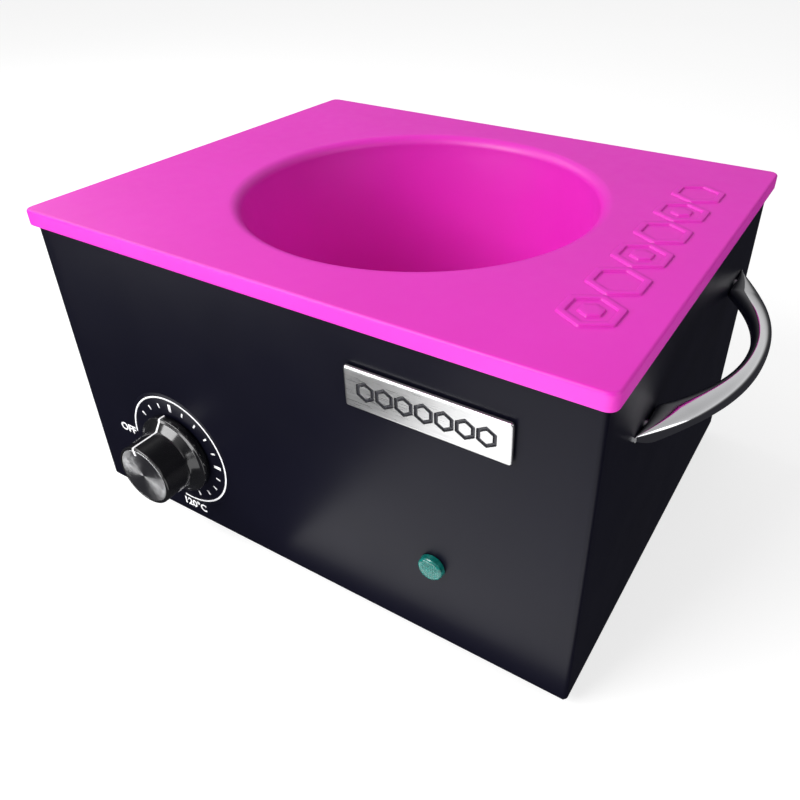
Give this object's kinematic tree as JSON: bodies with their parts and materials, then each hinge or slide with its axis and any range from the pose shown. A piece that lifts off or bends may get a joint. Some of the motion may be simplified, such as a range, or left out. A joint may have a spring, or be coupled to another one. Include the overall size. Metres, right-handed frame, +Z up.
{
  "type": "electric wax warmer pot",
  "caption": "Box-shaped electric wax warmer with a heated round well, a lift-out silicone liner, a temperature knob, a pilot lamp and two side handles.",
  "frame": {"origin": "middle of the bounding box, on the surface that the rubber feet stand on", "axes": "+X to the user's right, +Y to the back, +Z up; the knob and the lamp face -Y"},
  "size_m": [0.3146, 0.2346, 0.154],
  "materials": {
    "black_steel": "satin powder coat",
    "zinc_steel": "zinc plated",
    "aluminium": "drawn, satin",
    "pink_silicone": "moulded silicone, satin",
    "mica": "matt",
    "lagging": "felted glass fibre",
    "dial_print": "printed foil",
    "knob_black": "gloss",
    "spun_aluminium": "spun face",
    "white_print": "moulded inlay",
    "green_lens": "translucent, ribbed inside",
    "ceramic": "glazed",
    "badge_metal": "brushed",
    "rubber": "matt",
    "chrome": "polished",
    "inlet_black": "moulded",
    "brass": "plain",
    "copper": "plain copper",
    "lead_brown": "silicone sleeve",
    "lead_blue": "silicone sleeve",
    "lead_green": "silicone sleeve"
  },
  "bodies": {
    "warmer": {"badge_pad": "rubber", "band_heater": "mica", "base_plate": "zinc_steel", "base_screw_back_left": "zinc_steel", "base_screw_back_right": "zinc_steel", "base_screw_front_left": "zinc_steel", "base_screw_front_right": "zinc_steel", "bulb_clip": "zinc_steel", "capillary_tube": "copper", "clamp_nut": "zinc_steel", "clamp_screw": "zinc_steel", "control_screw_left": "zinc_steel", "control_screw_right": "zinc_steel", "dial_scale": "dial_print", "earth_nut": "brass", "earth_stud": "brass", "foot_back_left": "rubber", "foot_back_right": "rubber", "foot_front_left": "rubber", "foot_front_right": "rubber", "handle_left": "chrome", "handle_right": "chrome", "handle_screw_left_back": "zinc_steel", "handle_screw_left_front": "zinc_steel", "handle_screw_right_back": "zinc_steel", "handle_screw_right_front": "zinc_steel", "heating_well": "aluminium", "inlet_pin_earth": "brass", "inlet_pin_live": "brass", "inlet_pin_neutral": "brass", "inlet_screw_left": "zinc_steel", "inlet_screw_right": "zinc_steel", "insulation_blanket": "lagging", "lamp_body": "ceramic", "lamp_lens": "green_lens", "lamp_retainer": "zinc_steel", "lead_earth": "lead_green", "lead_heater_live": "lead_brown", "lead_heater_neutral": "lead_blue", "lead_lamp_live": "lead_brown", "lead_lamp_neutral": "lead_blue", "lead_live": "lead_brown", "lead_neutral": "lead_blue", "lead_switched": "lead_brown", "name_badge": "badge_metal", "outer_casing": "black_steel", "power_inlet": "inlet_black", "terminal_block": "ceramic", "thermal_cutout": "ceramic", "thermostat_body": "zinc_steel", "thermostat_bulb": "copper", "top_deck": "zinc_steel"},
    "knob": {"knob_body": "knob_black", "knob_cap": "spun_aluminium", "knob_pointer": "white_print", "thermostat_shaft": "zinc_steel"},
    "liner": {"silicone_liner": "pink_silicone"}
  },
  "joints": [
    {"name": "knob_turn", "type": "hinge", "parent": "warmer", "child": "knob", "pos_m": [-0.07, -0.0959, 0.0467], "axis": [0, -1, 0], "range_deg": [-190, 80]},
    {"name": "liner_lift", "type": "slide", "parent": "warmer", "child": "liner", "axis": [0, 0, 1], "range_m": [0, 0.125]}
  ]
}
